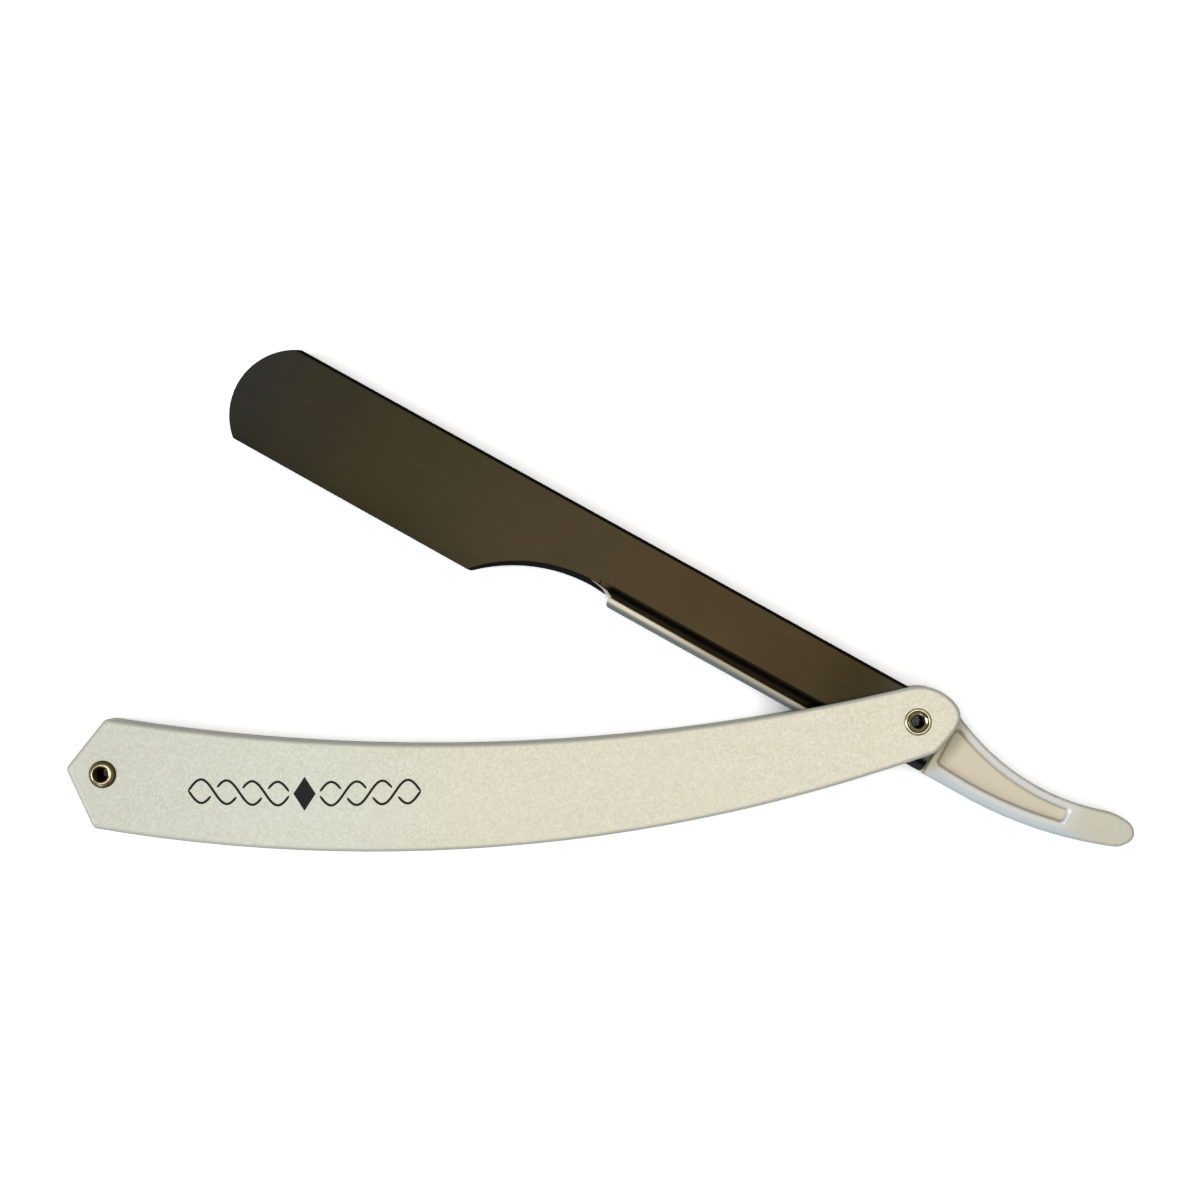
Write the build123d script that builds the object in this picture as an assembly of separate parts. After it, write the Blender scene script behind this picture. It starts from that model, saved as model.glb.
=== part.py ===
from build123d import *
from math import asin, degrees, sqrt
import os

# A folding barber's razor that takes half of a double-edge blade. Two curved scales make the
# handle. A folded sheet-metal shell and a moulded blade carrier with a tang share its pivot.
#
# Millimetres. The origin is on the pivot axis, half way through the thickness. +X runs along the
# handle from the tail eyelet to the pivot, +Y is the side the arm opens on, and +Z is towards the
# front scale. The razor lies on its back scale and stands REST_ANGLE open.
#
# The shell and the carrier are drawn in the arm's own frame, laid along the handle: the nose
# points to -X and the spine to +Y. Both are then turned about the pivot to the rest angle.

# Handle outline
RIVET_SPACING = 139.0
TOP_EDGE = (-61.0, 348.3, 347.5)        # concave edge: centre x, centre y, radius
BOTTOM_EDGE = (-76.15, 264.6, 281.3)    # convex edge
TAIL_TOP_X = -138.0
TAIL_TIP = (-145.3, 1.4)
TAIL_BOTTOM_X = -141.2
CAP_TOP_X = -3.0
CAP_BOTTOM_X = -5.0
CAP_POINTS = [(3.3, 5.4), (7.35, 0.4), (4.1, -4.2)]
TAIL_CORNER_R = 1.2
SCALE_EDGE_R = 0.9
SCALE_INNER_EDGE_R = 0.25
SPACER_FRONT_X = -136.0
SPACER_INSET = 0.3

# Through the thickness
SLOT = 4.9                              # clear gap between the scales
SCALE_THICK = 2.3
FACE_Z = SLOT / 2 + SCALE_THICK
SHELL_HALF = 2.1                        # mid-plane to a leaf's outer face
SHEET = 0.5
WASHER_PLAY = 0.03

# Rivets and washers
BARREL_R = 1.5
EYELET_BORE_R = 1.05
SCALE_HOLE_R = 1.52
RUNNING_HOLE_R = 1.55
WASHER_R = 3.6
SEAT_DEPTH = 0.55                       # counterbore under a recessed flange
SEAT_CLEARANCE = 0.12
BACK_FLANGE_R = 2.3
BACK_MOUTH_R = 1.55
BACK_SUNK = 0.05                        # clinched ends stay this far inside the back face
TAIL_FLANGE_R = 2.35
TAIL_MOUTH_R = 1.6
TAIL_RISE = 0.65                        # the tail flange stands on the front face
PIVOT_FLANGE_R = 2.2
PIVOT_MOUTH_R = 1.75
PIVOT_RISE = 0.12
FUNNEL_DEPTH = 0.9
ROLLED_RIM_R = 0.24
THIN_RIM_R = 0.1

# Shell
REST_ANGLE = 32.68                      # arm above the handle's rivet line
SPINE_Y = 4.55
SPINE_CORNER_R = 0.8
NOSE = (-118.16, -5.86, 11.34)
EDGE_NOSE_Y = -14.3                     # lower edge of the head, at the nose
EDGE_HEEL_Y = -14.5                     # and at the heel
HEEL_CORNER_R = 1.0
BACK_NOTCH = (-59.8, -34.65, 28.0)
FRONT_NOTCH = (-60.0, -32.45, 26.7)     # the front leaf is cut a little deeper
NOTCH_RUN_OUT = [(-57.1, -6.1), (-55.6, -6.9)]
SHANK_START_X = -57.5
SHANK_LOW_Y = -6.8
REAR_LOW_Y = -7.2
REAR_R = 4.9                            # rear end, round above the pivot and square below it
REAR_CORNER_R = 0.8
FLAT_LOW_Y = -4.9                       # a leaf is flat down to here and closes in below
HEAD_CLOSE = (-16.0, 1.03)              # y and z that the head's leaves curve in towards
SHANK_CLOSE = (-8.5, 0.83)              # that the shank's margins are folded in towards
NECK_CLOSE = (-8.5, 2.04)               # the same, where the folding starts
NECK_X = -58.8                          # the margins start to fold in here
FOLDED_X = -56.0                        # and are fully folded here
SLIT_END_X = -1.5                       # the spine is slit open from here to the rear end

# Carrier
WEB_HALF = 0.7                          # half thickness inside the shank
BOSS_HALF = 1.55
RAIL_HALF = 1.5
TANG_HALF = 1.9
PLATE_BACK_Z = -0.55
PLATE_FRONT_Z = 0.25
PEG_FRONT_Z = 0.55
WEB_TOP_Y = 3.4
BOSS_R = 3.9
RAIL_GAP = 0.12                         # rail to the shank's lips
RAIL_NOSE_X = -56.2
RAIL_REAR_X = -4.0
RAIL_LOW_Y = -8.6
RAIL_EDGE_R = 0.8
TONGUE = [(-56.2, -7.2), (-57.9, -6.25), (-60.8, -5.7)]
TONGUE_END_X = -63.0
PLATE_NOTCH_GAP = 0.9
PLATE_NOSE_GAP = 1.2
PLATE_TOP_Y = 3.0
PLATE_LOW_Y = -13.2
SHOULDER_X = 5.2
SHOULDER_LOW = (5.2, -7.3)
TANG_TOP = (23.5, 40.2, 39.86)          # concave thumb edge
TANG_BOTTOM = (13.7, 65.08, 72.4)
TANG_BOTTOM_START_X = 12.0
TANG_TIP_TOP_X = 35.8
TANG_TIP_LOW_X = 38.0
TANG_TIP = [(38.9, 2.7), (41.3, 2.0), (42.1, 0.45), (41.3, -1.3)]
TANG_EDGE_R = 0.6
RIM_TOP = 1.5                           # rim left around the thumb recess
RIM_LOW = 2.4
RIM_SHOULDER = 1.3
RECESS_END_X = 30.3
RECESS_DEPTH = 1.15
RECESS_CORNER_R = 0.8

# Seat for half of a 43 x 22 mm blade
BLADE_CENTRE_X = -102.6
BLADE_BACK_Y = -4.1
RIDGE_LENGTH = 36.0
RIDGE_WIDTH = 0.6
PEG_PITCH = 21.0
PEG_R = 1.6

BEYOND = 200.0                          # any length well past the razor


def on_circle(circle, x, side=-1):
    """The point of a circle at x: below its centre, or above it with side=1."""
    centre_x, centre_y, radius = circle
    return (x, centre_y + side * sqrt(radius**2 - (x - centre_x)**2))


def circle_x(circle, y, side=-1):
    """The x of a circle at height y: left of its centre, or right of it with side=1."""
    centre_x, centre_y, radius = circle
    return centre_x + side * sqrt(radius**2 - (y - centre_y)**2)


def circle_arc(circle, x_from, x_to, side=-1):
    middle = on_circle(circle, (x_from + x_to) / 2, side)
    return ThreePointArc(on_circle(circle, x_from, side), middle, on_circle(circle, x_to, side))


def grown(circle, amount):
    centre_x, centre_y, radius = circle
    return (centre_x, centre_y, radius + amount)


def slab(face, z_from, z_to):
    """A flat shape made solid between two heights, given in either order."""
    return extrude(Pos(0, 0, min(z_from, z_to)) * face, abs(z_to - z_from))


def disc(x, radius, z_from, z_to):
    return slab(Pos(x, 0) * Circle(radius), z_from, z_to)


def block(x_low, x_high, y_low, y_high, z_low, z_high):
    centre = Pos((x_low + x_high) / 2, (y_low + y_high) / 2, (z_low + z_high) / 2)
    return centre * Box(x_high - x_low, y_high - y_low, z_high - z_low)


def corners_at(face, *points):
    """The corners of a flat shape nearest to the given points."""
    return [face.vertices().sort_by_distance(Vector(point))[0] for point in points]


# Handle

def handle_outline():
    """The curved plan of a scale: an arrow-shaped tail and a round pivot end."""
    top = circle_arc(TOP_EDGE, TAIL_TOP_X, CAP_TOP_X)
    bottom = circle_arc(BOTTOM_EDGE, CAP_BOTTOM_X, TAIL_BOTTOM_X)
    cap = Spline(top @ 1, *CAP_POINTS, bottom @ 0, tangents=(top % 1, bottom % 0))
    tail = Polyline(bottom @ 1, TAIL_TIP, top @ 0)
    outline = make_face(top + cap + bottom + tail)
    tail_corners = corners_at(outline, on_circle(BOTTOM_EDGE, TAIL_BOTTOM_X), TAIL_TIP,
                              on_circle(TOP_EDGE, TAIL_TOP_X))
    return fillet(tail_corners, TAIL_CORNER_R)


def rivet_hole(x):
    return disc(x, SCALE_HOLE_R, -BEYOND, BEYOND)


def flange_seat(x, flange_r, side):
    """The counterbore for a recessed flange, in the front face (side 1) or the back (-1)."""
    return disc(x, flange_r + SEAT_CLEARANCE, side * (FACE_Z - SEAT_DEPTH), side * BEYOND)


def scale(side):
    """A scale with its rivet holes: the front one with side 1, the back one with -1."""
    body = slab(handle_outline(), side * SLOT / 2, side * FACE_Z)
    outer_edges = body.edges().group_by(Axis.Z)[-1 if side > 0 else 0]
    body = fillet(outer_edges, SCALE_EDGE_R)
    inner_edges = body.edges().group_by(Axis.Z)[0 if side > 0 else -1]
    body = fillet(inner_edges, SCALE_INNER_EDGE_R)
    return body - rivet_hole(0) - rivet_hole(-RIVET_SPACING)


def front_scale():
    return scale(1) - flange_seat(0, PIVOT_FLANGE_R, 1)


def back_scale():
    return scale(-1) - flange_seat(0, BACK_FLANGE_R, -1) - flange_seat(-RIVET_SPACING, BACK_FLANGE_R, -1)


def tail_spacer():
    """The small block that holds the scales apart at the tail."""
    plan = offset(handle_outline(), -SPACER_INSET)
    plan &= Pos(SPACER_FRONT_X - BEYOND / 2, 0) * Rectangle(BEYOND, BEYOND)
    return slab(plan, -SLOT / 2, SLOT / 2) - rivet_hole(-RIVET_SPACING)


def eyelet(x, flange_r, mouth_r, seat_z, top_z, rim_r):
    """A hollow rivet: a front flange, a straight bore and a clinched back flange."""
    back_seat = SEAT_DEPTH - FACE_Z
    back_end = BACK_SUNK - FACE_Z
    section = make_face(Polyline(
        (EYELET_BORE_R, back_end + FUNNEL_DEPTH),
        (EYELET_BORE_R, top_z - FUNNEL_DEPTH),
        (mouth_r, top_z),
        (flange_r, top_z),
        (flange_r, seat_z),
        (BARREL_R, seat_z),
        (BARREL_R, back_seat),
        (BACK_FLANGE_R, back_seat),
        (BACK_FLANGE_R, back_end),
        (BACK_MOUTH_R, back_end),
        close=True))
    section = fillet(corners_at(section, (mouth_r, top_z), (flange_r, top_z)), rim_r)
    section = fillet(corners_at(section, (BACK_MOUTH_R, back_end), (BACK_FLANGE_R, back_end)), THIN_RIM_R)
    return Pos(x, 0, 0) * revolve(Plane.XZ * section, Axis.Z)


def tail_eyelet():
    return eyelet(-RIVET_SPACING, TAIL_FLANGE_R, TAIL_MOUTH_R, FACE_Z, FACE_Z + TAIL_RISE, ROLLED_RIM_R)


def pivot_eyelet():
    return eyelet(0, PIVOT_FLANGE_R, PIVOT_MOUTH_R, FACE_Z - SEAT_DEPTH, FACE_Z + PIVOT_RISE, THIN_RIM_R)


def pivot_washer(side):
    """The thin washer that fills the slot beside the shell."""
    ring = Circle(WASHER_R) - Circle(SCALE_HOLE_R)
    return slab(ring, side * (SHELL_HALF + WASHER_PLAY), side * SLOT / 2)


# Shell

def across_arm(x):
    """The plane across the arm at x: its own x is the arm's Y, and its own y is the arm's Z."""
    return Plane(origin=(x, 0, 0), x_dir=(0, 1, 0), z_dir=(1, 0, 0))


def arm_section(close, inset, curved=False):
    """The arm's section: flat sides that close in below FLAT_LOW_Y, in a line or a curve."""
    low_y, lip_z = close
    sides = []
    for side in (1, -1):
        bend = (FLAT_LOW_Y, side * SHELL_HALF)
        lip = (low_y, side * lip_z)
        sides.append(Line((SPINE_Y, side * SHELL_HALF), bend))
        sides.append(TangentArc(bend, lip, tangent=(-1, 0)) if curved else Line(bend, lip))
    spine = Line((SPINE_Y, SHELL_HALF), (SPINE_Y, -SHELL_HALF))
    bottom = Line((low_y, lip_z), (low_y, -lip_z))
    section = make_face([*sides, spine, bottom])
    section = fillet(corners_at(section, spine @ 0, spine @ 1), SPINE_CORNER_R)
    return offset(section, -inset) if inset else section


def arm_form(inset=0):
    """The arm's solid outer form, or its hollow when inset by the sheet's thickness."""
    head_start_x = NOSE[0] - NOSE[2] - SHEET
    head = extrude(across_arm(head_start_x) * arm_section(HEAD_CLOSE, inset, curved=True),
                   NECK_X - head_start_x)
    neck = loft([across_arm(NECK_X) * arm_section(NECK_CLOSE, inset),
                 across_arm(FOLDED_X) * arm_section(SHANK_CLOSE, inset)])
    shank = extrude(across_arm(FOLDED_X) * arm_section(SHANK_CLOSE, inset), REAR_R + SHEET - FOLDED_X)
    return head + neck + shank


def shell_plan():
    """The folded sheet's outline: spine, round nose, straight edge, notch, shank and rear end."""
    nose_top = (circle_x(NOSE, SPINE_Y), SPINE_Y)
    nose_low = (circle_x(NOSE, EDGE_NOSE_Y), EDGE_NOSE_Y)
    heel = (circle_x(BACK_NOTCH, EDGE_HEEL_Y), EDGE_HEEL_Y)
    rear_low = (REAR_R, REAR_LOW_Y)
    nose = ThreePointArc(nose_top, (NOSE[0] - NOSE[2], NOSE[1]), nose_low)
    edge = Line(nose_low, heel)
    notch = circle_arc(BACK_NOTCH, heel[0], BACK_NOTCH[0], side=1)
    shank = Polyline(notch @ 1, (SHANK_START_X, SHANK_LOW_Y), rear_low, (REAR_R, 0))
    rear = JernArc((REAR_R, 0), (0, 1), REAR_R, degrees(asin(SPINE_Y / REAR_R)))
    spine = Line(rear @ 1, nose_top)
    plan = make_face([nose, edge, notch, shank, rear, spine])
    plan = fillet(corners_at(plan, heel), HEEL_CORNER_R)
    return fillet(corners_at(plan, rear_low), REAR_CORNER_R)


def front_notch():
    """What the front leaf's edge loses in the notch beyond the back leaf's edge."""
    heel_x = circle_x(FRONT_NOTCH, EDGE_HEEL_Y)
    curve = circle_arc(FRONT_NOTCH, heel_x, FRONT_NOTCH[0], side=1)
    below = 2 * EDGE_HEEL_Y
    rest = Polyline(curve @ 1, *NOTCH_RUN_OUT, (NOTCH_RUN_OUT[-1][0], below), (heel_x, below), curve @ 0)
    return slab(make_face([curve, rest]), 0, BEYOND)


def blade_shell():
    """One sheet folded at the spine, with the shank's lower margins folded in."""
    shell = (arm_form() - arm_form(SHEET)) & slab(shell_plan(), -BEYOND, BEYOND)
    hollow_half = SHELL_HALF - SHEET
    slit = block(SLIT_END_X, BEYOND, 0, BEYOND, -hollow_half, hollow_half)
    return shell - front_notch() - slit - disc(0, RUNNING_HOLE_R, -BEYOND, BEYOND)


# Carrier

def shank_low_y(x):
    """Height of the shank's lower edge at x."""
    along = (x - SHANK_START_X) / (REAR_R - SHANK_START_X)
    return SHANK_LOW_Y + along * (REAR_LOW_Y - SHANK_LOW_Y)


def carrier_web():
    """The plate inside the shank, from the neck of the tang to the blade plate."""
    plan = make_face(Polyline(
        (NECK_X, WEB_TOP_Y),
        (SLIT_END_X, WEB_TOP_Y),
        (SHOULDER_X, on_circle(TANG_TOP, SHOULDER_X)[1]),
        (SHOULDER_X, REAR_LOW_Y),
        (RAIL_NOSE_X, RAIL_LOW_Y + RAIL_EDGE_R),
        TONGUE[0],
        TONGUE[1],
        close=True))
    return slab(plan, -WEB_HALF, WEB_HALF)


def carrier_rail():
    """The rail under the shank's lips, which a fingernail pushes to swing the carrier out."""
    plan = make_face(Polyline(
        (RAIL_NOSE_X, shank_low_y(RAIL_NOSE_X) - RAIL_GAP),
        (RAIL_REAR_X, shank_low_y(RAIL_REAR_X) - RAIL_GAP),
        (RAIL_REAR_X, RAIL_LOW_Y),
        (RAIL_NOSE_X, RAIL_LOW_Y),
        close=True))
    rail = slab(plan, -RAIL_HALF, RAIL_HALF)
    low_edges = rail.edges().group_by(Axis.Y)[0]
    return fillet(low_edges, RAIL_EDGE_R)


def blade_plate():
    """The thin plate between the head's leaves, with the tongue that shows in the notch."""
    clear_notch = grown(FRONT_NOTCH, PLATE_NOTCH_GAP)
    clear_nose = grown(NOSE, -PLATE_NOSE_GAP)
    nose_low = (circle_x(clear_nose, PLATE_LOW_Y), PLATE_LOW_Y)
    nose_top = (circle_x(clear_nose, PLATE_TOP_Y), PLATE_TOP_Y)
    notch = circle_arc(clear_notch, TONGUE_END_X, circle_x(clear_notch, PLATE_LOW_Y), side=1)
    low = Line(notch @ 1, nose_low)
    nose = ThreePointArc(nose_low, (clear_nose[0] - clear_nose[2], clear_nose[1]), nose_top)
    rest = Polyline(nose_top, (RAIL_NOSE_X, PLATE_TOP_Y), *TONGUE, notch @ 0)
    return slab(make_face([notch, low, nose, rest]), PLATE_BACK_Z, PLATE_FRONT_Z)


def blade_seat():
    """A ridge behind the half blade's snapped edge, with two pegs for its half holes."""
    ridge = block(BLADE_CENTRE_X - RIDGE_LENGTH / 2, BLADE_CENTRE_X + RIDGE_LENGTH / 2,
                  BLADE_BACK_Y, BLADE_BACK_Y + RIDGE_WIDTH, 0, PEG_FRONT_Z)
    for side in (-1, 1):
        ridge += Pos(0, BLADE_BACK_Y) * disc(BLADE_CENTRE_X + side * PEG_PITCH / 2, PEG_R, 0, PEG_FRONT_Z)
    return ridge


def thumb_recess(side):
    """The hollow in one face of the tang, with its rim left standing."""
    start_x = SHOULDER_X + RIM_SHOULDER
    top = circle_arc(grown(TANG_TOP, RIM_TOP), start_x, RECESS_END_X)
    low = circle_arc(grown(TANG_BOTTOM, -RIM_LOW), RECESS_END_X, start_x)
    plan = make_face([top, Line(top @ 1, low @ 0), low, Line(low @ 1, top @ 0)])
    plan = fillet(plan.vertices(), RECESS_CORNER_R)
    return slab(plan, side * (TANG_HALF - RECESS_DEPTH), side * BEYOND)


def tang():
    """The thumb rest behind the pivot: concave above, convex below, round at the tip."""
    top = circle_arc(TANG_TOP, SHOULDER_X, TANG_TIP_TOP_X)
    low = circle_arc(TANG_BOTTOM, TANG_TIP_LOW_X, TANG_BOTTOM_START_X)
    tip = Spline(top @ 1, *TANG_TIP, low @ 0, tangents=(top % 1, low % 0))
    shoulder = Polyline(low @ 1, SHOULDER_LOW, top @ 0)
    body = slab(make_face([top, tip, low, shoulder]), -TANG_HALF, TANG_HALF)
    faces_edges = body.edges().group_by(Axis.Z)
    body = fillet(faces_edges[0] + faces_edges[-1], TANG_EDGE_R)
    return body - thumb_recess(1) - thumb_recess(-1)


def blade_carrier():
    body = carrier_web() + carrier_rail() + blade_plate() + blade_seat() + tang()
    body += disc(0, BOSS_R, -BOSS_HALF, BOSS_HALF)
    return body - disc(0, RUNNING_HOLE_R, -BEYOND, BEYOND)


def main():
    opened = Rot(0, 0, -REST_ANGLE)
    nodes = {
        "front_scale": front_scale(),
        "back_scale": back_scale(),
        "tail_spacer": tail_spacer(),
        "tail_eyelet": tail_eyelet(),
        "pivot_eyelet": pivot_eyelet(),
        "front_pivot_washer": pivot_washer(1),
        "back_pivot_washer": pivot_washer(-1),
        "blade_shell": opened * blade_shell(),
        "blade_carrier": opened * blade_carrier(),
    }
    os.makedirs("parts", exist_ok=True)
    for name, solid in nodes.items():
        export_step(solid, f"parts/{name}.step")


main()
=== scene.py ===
from math import cos, pi, radians, sin

import bmesh
import bpy
from mathutils import Matrix, Vector


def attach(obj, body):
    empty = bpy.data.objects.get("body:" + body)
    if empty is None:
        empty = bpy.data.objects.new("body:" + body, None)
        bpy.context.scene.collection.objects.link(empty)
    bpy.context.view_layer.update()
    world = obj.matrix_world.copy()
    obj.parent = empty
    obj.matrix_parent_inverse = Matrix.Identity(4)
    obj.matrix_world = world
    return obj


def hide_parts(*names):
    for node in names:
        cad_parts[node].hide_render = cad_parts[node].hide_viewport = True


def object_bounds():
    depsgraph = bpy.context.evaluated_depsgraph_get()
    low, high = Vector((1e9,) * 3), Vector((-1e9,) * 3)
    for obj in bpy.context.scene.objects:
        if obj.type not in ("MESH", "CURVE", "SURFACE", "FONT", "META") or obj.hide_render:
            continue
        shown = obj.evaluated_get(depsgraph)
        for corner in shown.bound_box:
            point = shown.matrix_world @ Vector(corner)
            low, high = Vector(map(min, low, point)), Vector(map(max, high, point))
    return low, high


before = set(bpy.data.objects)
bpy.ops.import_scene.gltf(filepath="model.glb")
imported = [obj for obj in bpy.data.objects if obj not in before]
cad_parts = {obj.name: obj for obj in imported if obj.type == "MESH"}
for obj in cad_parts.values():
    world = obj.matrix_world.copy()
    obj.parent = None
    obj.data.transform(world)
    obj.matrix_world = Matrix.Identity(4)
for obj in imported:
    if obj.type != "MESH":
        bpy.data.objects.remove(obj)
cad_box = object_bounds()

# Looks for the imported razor: softened copies of the moulded and folded parts, newly turned brass
# eyelets, a printed ornament, procedural materials, and a plain studio seen from above.
#
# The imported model's frame: metres, origin on the pivot axis, +X from the tail to the pivot,
# +Y the side that the arm opens on, +Z towards the front scale.

MM = 0.001

# The razor's own measures, as the CAD source gives them. X and Y on the arm are in its own frame
REST_ANGLE = radians(32.68)             # the arm's angle above the handle
RIVET_SPACING = 139.0 * MM
FACE_Z = 4.75 * MM                      # outer face of a scale
LEAF_Z = 2.1 * MM                       # outer face of a shell leaf
SHEET = 0.5 * MM
SPINE_Y = 4.55 * MM
NOSE_X = -129.5 * MM                    # the arm's far end
SHANK_START_X = -57.5 * MM
RAIL_REAR = 4.0 * MM                    # the rail ends this far before the pivot
TANG_START_X = 5.2 * MM
TANG_FACE_Z = 1.9 * MM
RECESS_FLOOR_Z = 0.75 * MM
RECESS_START_X = 6.5 * MM
RECESS_END_X = 30.3 * MM
TANG_LOW_CENTRE = (13.7 * MM, 65.08 * MM, 0)    # the tang's lower edge is an arc about this point
TANG_LOW_R = 72.4 * MM

# Where colours and soft edges change on those shapes
CREASE_SHADE_Y = -5.6 * MM                    # painted shade: the dark line along the shank's bent margin
SCALE_END_R = 7.5 * MM                  # the scales' painted shadow falls on the tang just outside this radius
RAIL_START = -56.6 * MM
RAIL_TOP_Y = -6.75 * MM
RAIL_SHADE_Y = -7.5 * MM                 # painted shade greys the rail's rounded lower edge below this
RECESS_WALLS_END_X = RECESS_END_X - 0.6 * MM
RECESS_END_Y = (-3.2 * MM, -0.4 * MM)   # the painted highlight on the recess's end wall lies between these
ACROSS_Z = 0.6 * MM                     # an edge whose middle is lower than this runs across the tang

# The eyelets. A rim is given by the radii of its inner foot, its crest and its outer foot
BORE_R = 1.05 * MM
BARREL_R = 1.5 * MM
BACK_FLANGE_R = 2.3 * MM
BACK_SEAT_Z = -4.2 * MM
BACK_END_Z = -4.7 * MM
FUNNEL_DEPTH = 0.9 * MM
TAIL_RIM_R = (1.28 * MM, 1.55 * MM, 2.35 * MM)
TAIL_TOP_Z = FACE_Z + 0.65 * MM
MOUTH_OFFSET = 0.3 * MM                 # the tail eyelet's mouth was rolled this far off centre
PIVOT_RIM_R = (1.84 * MM, 2.01 * MM, 2.2 * MM)
PIVOT_GROOVE_R = (1.64 * MM, 1.84 * MM)
PIVOT_TOP_Z = FACE_Z + 0.12 * MM
PIVOT_SEAT_Z = FACE_Z - 0.55 * MM       # the floor of the front scale's counterbore

# Bands of radii on each eyelet that are dark with dirt and painted shade
DARK_BORE = (0, BORE_R + 0.04 * MM)
DARK_MOUTH = (BORE_R - 0.01 * MM, TAIL_RIM_R[0] + 0.01 * MM)
# painted shadow where the tail eyelet's dome meets the scale
DARK_FOOT = (2.15 * MM, 2.4 * MM)

# The shell's coat, from the nose (0) to the rear end (1): its brown is warmest along the shank, and its
# brightness along the arm is a painted reflection
COAT_TONES_AND_REFLECTION = [
    (0.0, (0.0160, 0.0157, 0.0138)),
    (0.10, (0.0200, 0.0172, 0.0105)),
    (0.22, (0.0255, 0.0221, 0.0102)),
    (0.45, (0.0375, 0.0280, 0.0150)),
    (0.68, (0.0425, 0.0300, 0.0138)),
    (0.80, (0.0365, 0.0256, 0.0115)),
    (0.88, (0.0254, 0.0192, 0.0080)),
    (1.0, (0.0600, 0.0640, 0.0600)),
]

# The scales' tint, from the tail (0) to the pivot (1): painted shade, darker and cooler towards the tail and
# warmer towards the pivot
SCALE_SHADE_TINTS = [
    (0.0, (0.82, 0.845, 0.87)),
    (0.25, (0.895, 0.915, 0.935)),
    (0.5, (0.965, 0.925, 0.89)),
    (1.0, (0.995, 0.935, 0.905)),
]

# Other colours, as linear light
PEARL_SHADE = (0.60, 0.58, 0.445)
PEARL_LIGHT = (0.80, 0.78, 0.63)
PEARL_CLOUD = (0.71, 0.667, 0.527)
PEARL_FLOW = (0.74, 0.73, 0.61)
PEARL_FLAKE = (0.88, 0.87, 0.76)
# Painted shade for the scales' rounded edges and sides
PEARL_EDGE_SHADE = (0.49, 0.475, 0.41)
CREAM_SHADE = (0.475, 0.44, 0.33)
CREAM_LIGHT = (0.505, 0.465, 0.355)
CREAM_SCUFF = (0.44, 0.41, 0.32)
# Painted sheen on the tang's rims and painted cool reflection along its lower edge
TANG_RIM_SHEEN = (0.56, 0.555, 0.505)
TANG_LOW_EDGE_REFLECTION = (0.41, 0.465, 0.49)
# Painted light and shade in the thumb recess: warm light on the floor, shade on the walls, a highlight on
# the end wall
RECESS_FLOOR = (0.575, 0.49, 0.34)
RECESS_WALL_SHADE = (0.30, 0.25, 0.18)
RECESS_END_HIGHLIGHT = (0.78, 0.84, 0.86)
# Painted shadow of the scales on the tang
SCALE_SHADOW_TAN = (0.33, 0.28, 0.17)
RAIL_CLEAN = (0.63, 0.55, 0.38)
RAIL_WORN = (0.335, 0.265, 0.155)
# Painted shade for the rail's rounded lower edge
RAIL_EDGE_SHADE = (0.125, 0.14, 0.125)
COAT_CLOUD = (0.02, 0.018, 0.014)
COAT_STREAK = (0.06, 0.048, 0.03)
# Painted shade along the spine's fold and the margin's crease
COAT_FOLD_SHADE = (0.004, 0.004, 0.004)
COAT_CREASE_SHADE = (0.003, 0.003, 0.0028)
# Painted shade for the shell's inner side and cut edges
INNER_SHADE_DARK = (0.002, 0.0022, 0.002)
INNER_SHADE_LIGHT = (0.007, 0.0075, 0.0065)
BRASS_SHADE = (0.42, 0.35, 0.19)
BRASS_LIGHT = (0.62, 0.54, 0.34)
BRASS_TARNISH = (0.2, 0.14, 0.05)
# Painted shade for the tail eyelet's outer slope
BRASS_SLOPE_SHADE = (0.2, 0.12, 0.03)
DIRT_DARK = (0.012, 0.009, 0.005)
DIRT_BROWN = (0.07, 0.05, 0.02)
ZINC_SHADE = (0.3, 0.3, 0.29)
ZINC_LIGHT = (0.48, 0.48, 0.47)
INK_THICK = (0.008, 0.008, 0.0075)
INK_THIN = (0.05, 0.048, 0.042)
FLOOR_SHADE = (1.55, 1.55, 1.55)        # over 1, and only for the camera: the floor shows as white
FLOOR_LIGHT = (1.6, 1.6, 1.6)
FLOOR_THROWN_BACK = (0.45, 0.46, 0.47, 1.0)
ROOM_LIGHT = (0.93, 0.96, 1.0, 1.0)
BACKDROP = (1.0, 1.0, 1.0, 1.0)
WARM_WHITE = (1.0, 0.98, 0.95)
COOL_WHITE = (0.88, 0.95, 1.0)
PALE_BLUE = (0.72, 0.88, 1.0)

ARM_TURN = Matrix.Rotation(REST_ANGLE, 3, "Z")      # turns the arm to lie along the handle

# Softened edges
SAME_POINT = 1e-6
FLAT_ANGLE = radians(0.3)
SHARP_ANGLE = radians(32)
SHELL_SHARP_ANGLE = radians(12)
CARRIER_SHARP_ANGLE = radians(62)
BEVEL_STEPS = 4
SCALE_SOFTNESS = 0.08 * MM
WASHER_SOFTNESS = 0.05 * MM
SHELL_SOFTNESS = 0.12 * MM
TANG_SOFTNESS = 0.45 * MM
NARROW_SHARE = 0.25                     # of the tang's softness, on the rest of the carrier
TOUCHING = 0.02 * MM                    # surfaces nearer than this count as one
SIDEWAYS = 0.3                          # a face whose normal rises less than this stands on edge


# Node helpers

def add_node(tree, kind, inputs=None, **settings):
    """A shader node. An input given as another node's socket is linked, and a plain value is set."""
    node = tree.nodes.new(kind)
    for setting, value in settings.items():
        setattr(node, setting, value)
    for socket, value in (inputs or {}).items():
        if isinstance(value, bpy.types.NodeSocket):
            tree.links.new(value, node.inputs[socket])
        else:
            node.inputs[socket].default_value = value
    return node


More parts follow.
